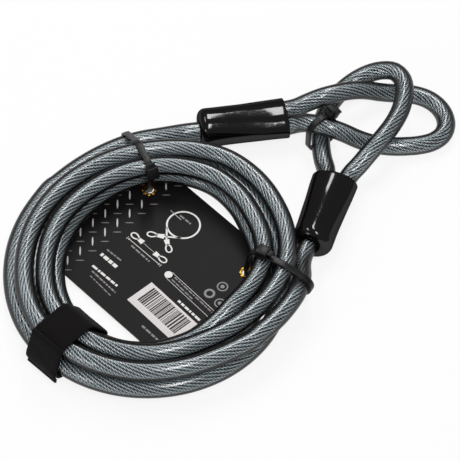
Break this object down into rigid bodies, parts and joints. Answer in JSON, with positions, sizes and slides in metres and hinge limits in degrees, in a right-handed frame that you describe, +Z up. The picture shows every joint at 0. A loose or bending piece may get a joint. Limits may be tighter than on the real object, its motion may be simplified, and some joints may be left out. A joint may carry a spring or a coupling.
{
  "type": "looped-end security cable",
  "caption": "Steel security cable in a clear jacket with a crimped eye at each end, coiled, tied to a plain retail card and held by a hook-and-loop strap.",
  "frame": {"origin": "under the middle of the bounding box, on the surface that the coil lies on", "axes": "+Z up off the surface, +X to the right from the coil towards the eyes, +Y away from the viewer"},
  "size_m": [0.2368, 0.211, 0.0291],
  "materials": {
    "clear_jacket": "clear smoky PVC, glossy",
    "wire_rope": "galvanised strands",
    "ferrule_alloy": "pressed",
    "black_vinyl": "glossy dipped vinyl",
    "black_nylon": "satin",
    "strap_tape": "woven hook-and-loop tape",
    "card_board": "coated board, satin",
    "eyelet_brass": "plated, bright"
  },
  "bodies": {
    "cable": {"coil_jacket": "clear_jacket", "eye_a_jacket": "clear_jacket", "eye_b_jacket": "clear_jacket", "wire_rope": "wire_rope", "ferrule_a": "ferrule_alloy", "ferrule_b": "ferrule_alloy", "sleeve_a": "black_vinyl", "sleeve_b": "black_vinyl", "top_tie": "black_nylon", "side_tie": "black_nylon", "eye_tie": "black_nylon", "strap_band": "strap_tape", "card": "card_board", "eyelet_top": "eyelet_brass", "eyelet_side": "eyelet_brass"},
    "tail": {"strap_tail": "strap_tape"}
  },
  "joints": [
    {"name": "tail_peel", "type": "hinge", "parent": "cable", "child": "tail", "pos_m": [-0.09397, -0.0823, 0.02399], "axis": [-0.7071, 0.7071, 0], "range_deg": [0, 120]}
  ]
}
